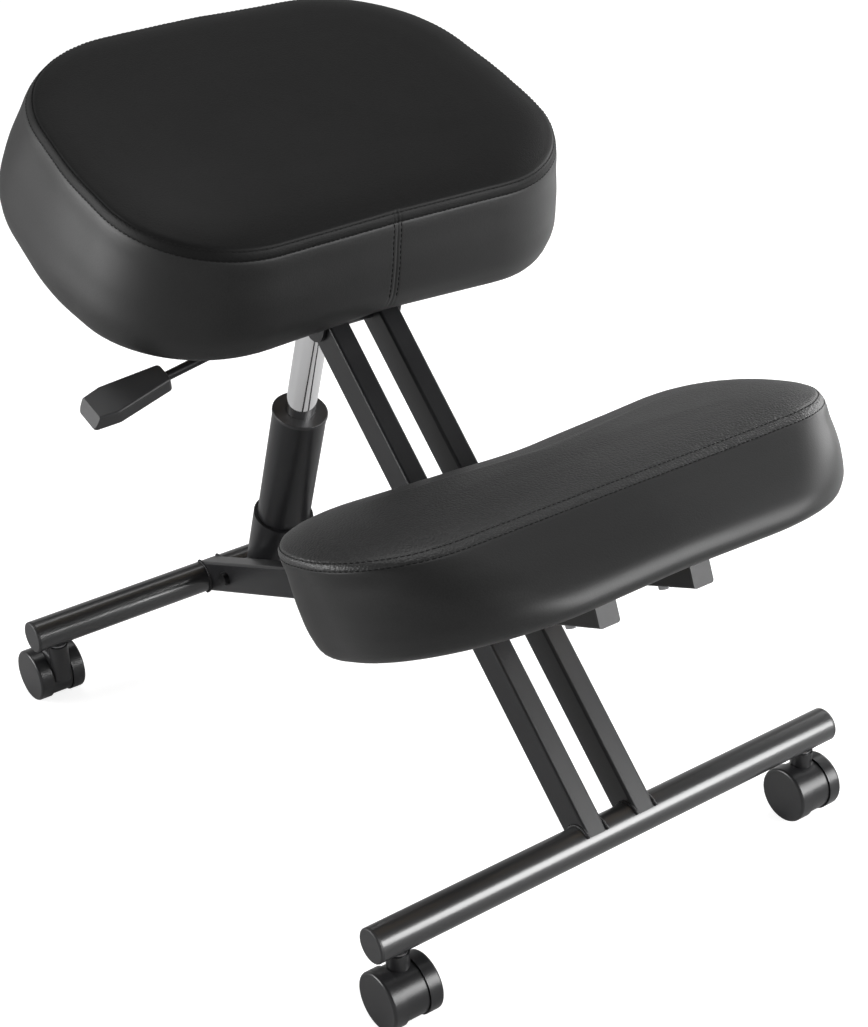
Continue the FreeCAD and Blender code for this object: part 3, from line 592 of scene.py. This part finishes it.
# Each row is an outline with its height, fall, front and rear hang and notch lift
for row in [
    ((177, 212, 36, 0, 124, 62), 16.5, 0.3, 5, 13, 8),
    ((187, 222, 44, 6, 124, 66), 23.0, 0.6, 5, 13, 5),
    ((188, 229, 47, 10, 118, 70), 37.0, 1.5, 5, 11, 2),
    ((180, 234, 48, 12, 108, 75), 54.0, 2.7, 2, 7, 0),
    ((161, 239, 46, 10, 92, 81), 80.0, 4.4, 0, 2, 0),
    ((140, 242, 42, 6, 78, 84), PAD_SEAM, PAD_FALL),
]:
    pad_rows.append(pad_row(*row))
pad_seam_row = len(pad_rows) - 1
for outline, share in [
    ((127, 231, 31, -4, 70, 74), 0.44),
    ((106, 210, 11, -24, 54, 52), 0.80),
    ((84, 180, -12, -40, 32, 32), 1.0),
]:
    pad_rows.append(pad_row(outline, PAD_SEAM + PAD_CROWN * share, PAD_FALL))
pad, pad_line, _ = cushion("knee_pad_cover", pad_rows, pad_seam_row, on_pad, 11, PAD_TOP)

for obj in (seat, pad):
    outward(obj)
    obj.data.validate()
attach(seat, "seat")
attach(pad, "rear_frame")
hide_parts("seat_cushion")
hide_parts("knee_pad_cushion")


# Rows of small things along a path, by Geometry Nodes

def beads_tree():
    """Small rounded beads laid end to end along a curve."""
    tree = bpy.data.node_groups.new("beads_on_path", "GeometryNodeTree")
    tree.is_modifier = True
    group_socket(tree, "Path", "NodeSocketGeometry", "INPUT")
    group_socket(tree, "Spacing", "NodeSocketFloat", "INPUT", 0.0045)
    group_socket(tree, "Length", "NodeSocketFloat", "INPUT", 0.0034)
    group_socket(tree, "Width", "NodeSocketFloat", "INPUT", 0.0009)
    group_socket(tree, "Scatter", "NodeSocketFloat", "INPUT", 0.0)
    group_socket(tree, "Seed", "NodeSocketInt", "INPUT", 3)
    group_socket(tree, "Finish", "NodeSocketMaterial", "INPUT")
    group_socket(tree, "Beads", "NodeSocketGeometry", "OUTPUT")
    new, link = tree.nodes.new, tree.links.new
    start, end = new("NodeGroupInput"), new("NodeGroupOutput")
    sample = new("GeometryNodeResampleCurve")
    sample.mode = "LENGTH"
    link(start.outputs["Path"], sample.inputs["Curve"])
    link(start.outputs["Spacing"], sample.inputs["Length"])
    ball = new("GeometryNodeMeshUVSphere")
    ball.inputs["Segments"].default_value = 8
    ball.inputs["Rings"].default_value = 6
    ball.inputs["Radius"].default_value = 0.5
    tangent = new("GeometryNodeInputTangent")
    align = new("FunctionNodeAlignRotationToVector")
    align.axis = "Z"
    link(tangent.outputs["Tangent"], align.inputs["Vector"])
    size = new("ShaderNodeCombineXYZ")
    for name, source in (("X", "Width"), ("Y", "Width"), ("Z", "Length")):
        link(start.outputs[source], size.inputs[name])
    wobble = new("FunctionNodeRandomValue")
    wobble.data_type = "FLOAT"
    wobble.inputs[2].default_value = 0.0
    wobble.inputs[3].default_value = 1.0
    link(start.outputs["Seed"], wobble.inputs["Seed"])
    amount = new("ShaderNodeMath")
    amount.operation = "MULTIPLY_ADD"
    link(wobble.outputs[1], amount.inputs[0])
    link(start.outputs["Scatter"], amount.inputs[1])
    amount.inputs[2].default_value = 1.0
    scaled = new("ShaderNodeVectorMath")
    scaled.operation = "SCALE"
    link(size.outputs["Vector"], scaled.inputs[0])
    link(amount.outputs[0], scaled.inputs["Scale"])
    place = new("GeometryNodeInstanceOnPoints")
    link(sample.outputs["Curve"], place.inputs["Points"])
    link(ball.outputs["Mesh"], place.inputs["Instance"])
    link(align.outputs["Rotation"], place.inputs["Rotation"])
    link(scaled.outputs["Vector"], place.inputs["Scale"])
    real = new("GeometryNodeRealizeInstances")
    link(place.outputs["Instances"], real.inputs["Geometry"])
    smooth = new("GeometryNodeSetShadeSmooth")
    link(real.outputs["Geometry"], smooth.inputs["Geometry"])
    paint = new("GeometryNodeSetMaterial")
    link(smooth.outputs["Geometry"], paint.inputs["Geometry"])
    link(start.outputs["Finish"], paint.inputs["Material"])
    link(paint.outputs["Geometry"], end.inputs["Beads"])
    return tree


BEADS = beads_tree()


def beads(name, paths, size, finish, body, scatter=0.0, closed=False, seed=3):
    """A plain mesh of beads along one or more paths, riding on a body.

    The size is the beads' spacing, length and width.
    """
    curve = bpy.data.curves.new(name + "_path", "CURVE")
    curve.dimensions = "3D"
    for path in paths:
        spline = curve.splines.new("POLY")
        spline.points.add(len(path) - 1)
        spline.points.foreach_set("co", [c for p in path for c in (*p, 1.0)])
        spline.use_cyclic_u = closed
    guide = bpy.data.objects.new(name + "_path", curve)
    bpy.context.collection.objects.link(guide)
    modifier = guide.modifiers.new("beads", "NODES")
    modifier.node_group = BEADS
    spacing, length, width = size
    values = {
        "Spacing": spacing,
        "Length": length,
        "Width": width,
        "Scatter": scatter,
        "Seed": seed,
        "Finish": finish,
    }
    for item in BEADS.interface.items_tree:
        if item.in_out == "INPUT" and item.name in values:
            modifier[item.identifier] = values[item.name]
    guide.update_tag()
    bpy.context.view_layer.update()
    depsgraph = bpy.context.evaluated_depsgraph_get()
    mesh = bpy.data.meshes.new_from_object(guide.evaluated_get(depsgraph), depsgraph=depsgraph)
    mesh.name = name
    if not mesh.materials:
        mesh.materials.append(finish)
    obj = bpy.data.objects.new(name, mesh)
    bpy.context.collection.objects.link(obj)
    bpy.data.objects.remove(guide)
    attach(obj, body)
    return obj


STITCH = (0.0046, 0.0036, 0.0008)
WELD = (0.0016, 0.0026, 0.0030)
# How far the thread stands out of its groove, on the band and beside the seam
BAND_LIFT, SEAM_LIFT = 0.2, 0.1
BESIDE_SEAM = 1.2


def stitched_lines(line):
    """The two sewn lines that run round a cover, below its seam."""
    return [line(-SECOND_LINE, BAND_LIFT), line(-BESIDE_SEAM, SEAM_LIFT)]


def upright_lines(grid, normal, away, start=11, end=88):
    """Two sewn lines down the middle of the seat's front, between two ways from the seam."""
    rows_down = [i for i in range(len(away)) if -end < away[i] < -start]
    lines = []
    for stitch_x in (-UPRIGHT_STITCH_X, UPRIGHT_STITCH_X):
        path = []
        for i in rows_down:
            row = grid[i] + normal[i] * BAND_LIFT
            for p, q in zip(row, np.roll(row, -1, axis=0)):
                crosses = (p[0] - stitch_x) * (q[0] - stitch_x) <= 0
                if p[1] < 0 and crosses and abs(q[0] - p[0]) > 1e-6:
                    path.append(p + (q - p) * (stitch_x - p[0]) / (q[0] - p[0]))
                    break
        lines.append(on_column(path) * MM)
    return lines


beads("seat_stitches", stitched_lines(seat_line), STITCH, THREAD, "seat", closed=True)
beads("pad_stitches", stitched_lines(pad_line), STITCH, THREAD, "rear_frame", closed=True)
beads("front_stitches", upright_lines(*seat_grid), STITCH, THREAD, "seat")


# Weld beads where the beams meet the foot tubes

WELD_R = TUBE_R + 0.4
WELD_SAMPLES = 24
OUTER_BEAM_FACES = (37.0, 57.0)
INNER_BEAM_FACES = (16.0, 36.0)


def half_round(x, place, start, end):
    """A half circle round a foot tube, beside one face of a beam."""
    angles = np.radians(np.linspace(start, end, WELD_SAMPLES))
    x = np.full(WELD_SAMPLES, x)
    return place(np.column_stack([x, WELD_R * np.cos(angles), WELD_R * np.sin(angles)])) * MM


outer_welds = [half_round(side * x, on_outer, 95, 265) for side in (-1, 1) for x in OUTER_BEAM_FACES]
inner_welds = [half_round(side * x, on_inner, -85, 85) for side in (-1, 1) for x in INNER_BEAM_FACES]
beads("rear_welds", outer_welds, WELD, POWDER, "rear_frame", 0.35, seed=7)
beads("front_welds", inner_welds, WELD, POWDER, "front_frame", 0.35, seed=8)


# Studio

FLOOR_GREY, FLOOR_GLOW = 0.54, 0.80
FLOOR_REACH = 9
# The room's light is strongest at the horizon and fades up to this height
HORIZON_LIGHT, TOP_LIGHT, FADE_HEIGHT = 0.64, 0.06, 0.75


def stage_material(name, glow):
    """A pale floor that keeps shadows and shows nearly white to the camera."""
    material = bpy.data.materials.new(name)
    material.use_nodes = True
    tree = material.node_tree
    tree.nodes.clear()
    new, link = tree.nodes.new, tree.links.new
    out = new("ShaderNodeOutputMaterial")
    diffuse = new("ShaderNodeBsdfDiffuse")
    diffuse.inputs["Color"].default_value = (FLOOR_GREY, FLOOR_GREY, FLOOR_GREY, 1)
    light = new("ShaderNodeEmission")
    path = new("ShaderNodeLightPath")
    seen = new("ShaderNodeMath")
    seen.operation = "MAXIMUM"
    link(path.outputs["Is Camera Ray"], seen.inputs[0])
    link(path.outputs["Is Transmission Ray"], seen.inputs[1])
    strength = new("ShaderNodeMath")
    strength.operation = "MULTIPLY"
    strength.inputs[1].default_value = glow
    link(seen.outputs[0], strength.inputs[0])
    link(strength.outputs[0], light.inputs["Strength"])
    total = new("ShaderNodeAddShader")
    link(diffuse.outputs[0], total.inputs[0])
    link(light.outputs[0], total.inputs[1])
    link(total.outputs[0], out.inputs["Surface"])
    return material


floor_mesh = bpy.data.meshes.new("floor")
floor_corners = [(FLOOR_REACH * x, FLOOR_REACH * y, 0) for x, y in [(-1, -1), (1, -1), (1, 1), (-1, 1)]]
floor_mesh.from_pydata(floor_corners, [], [(0, 1, 2, 3)])
floor = bpy.data.objects.new("floor", floor_mesh)
floor_mesh.materials.append(stage_material("pale_floor", FLOOR_GLOW))
bpy.context.collection.objects.link(floor)

world = bpy.data.worlds.new("studio")
bpy.context.scene.world = world
world.use_nodes = True
tree = world.node_tree
tree.nodes.clear()
new, link = tree.nodes.new, tree.links.new
out = new("ShaderNodeOutputWorld")
room, plain, choose = new("ShaderNodeBackground"), new("ShaderNodeBackground"), new("ShaderNodeMixShader")
plain.inputs["Color"].default_value = (1, 1, 1, 1)
path = new("ShaderNodeLightPath")
coords = new("ShaderNodeTexCoord")
split = new("ShaderNodeSeparateXYZ")
link(coords.outputs["Generated"], split.inputs[0])
ramp = new("ShaderNodeMapRange")
ramp.interpolation_type = "SMOOTHSTEP"
ramp.inputs["From Min"].default_value = 0.0
ramp.inputs["From Max"].default_value = FADE_HEIGHT
ramp.inputs["To Min"].default_value = HORIZON_LIGHT
ramp.inputs["To Max"].default_value = TOP_LIGHT
link(split.outputs["Z"], ramp.inputs["Value"])
link(ramp.outputs["Result"], room.inputs["Strength"])
room.inputs["Color"].default_value = (1, 1, 1, 1)
link(path.outputs["Is Camera Ray"], choose.inputs["Fac"])
link(room.outputs[0], choose.inputs[1])
link(plain.outputs[0], choose.inputs[2])
link(choose.outputs[0], out.inputs["Surface"])


def softbox(name, position, target, width, height, power):
    """A rectangular lamp aimed at a point."""
    data = bpy.data.lights.new(name, "AREA")
    data.shape = "RECTANGLE"
    data.size, data.size_y = width, height
    data.energy = power
    obj = bpy.data.objects.new(name, data)
    obj.location = position
    obj.rotation_euler = (Vector(target) - Vector(position)).to_track_quat("-Z", "Y").to_euler()
    bpy.context.collection.objects.link(obj)


softbox("right_floor", (2.0, 0.1, 0.7), (1.8, 0.05, 0), 1.0, 1.6, 34)
softbox("right_front", (1.45, -2.35, 1.2), (0, -0.2, 0.2), 1.3, 1.5, 85)
softbox("left_back", (-2.3, 1.3, 0.8), (-0.2, 0.2, 0.2), 1.6, 1.3, 62)
softbox("overhead", (0.3, 0.8, 2.8), (0, 0, 0), 1.8, 1.4, 22)

camera_data = bpy.data.cameras.new("photo_camera")
camera_data.sensor_fit = "HORIZONTAL"
camera_data.sensor_width = 36.0
camera_data.lens = 85.91
camera_data.shift_x = -0.0332
camera_data.shift_y = 0.0923
camera = bpy.data.objects.new("photo_camera", camera_data)
azimuth, elevation = math.radians(37.39), math.radians(31.15)
camera.location = (-0.9156, (FRONT_Y - 995.1) * MM, 1.1151)
level = math.cos(elevation)
ahead = Vector((level * math.sin(azimuth), level * math.cos(azimuth), -math.sin(elevation)))
camera.rotation_euler = ahead.to_track_quat("-Z", "Y").to_euler()
bpy.context.collection.objects.link(camera)
bpy.context.scene.camera = camera
bpy.context.scene.view_settings.view_transform = "Standard"
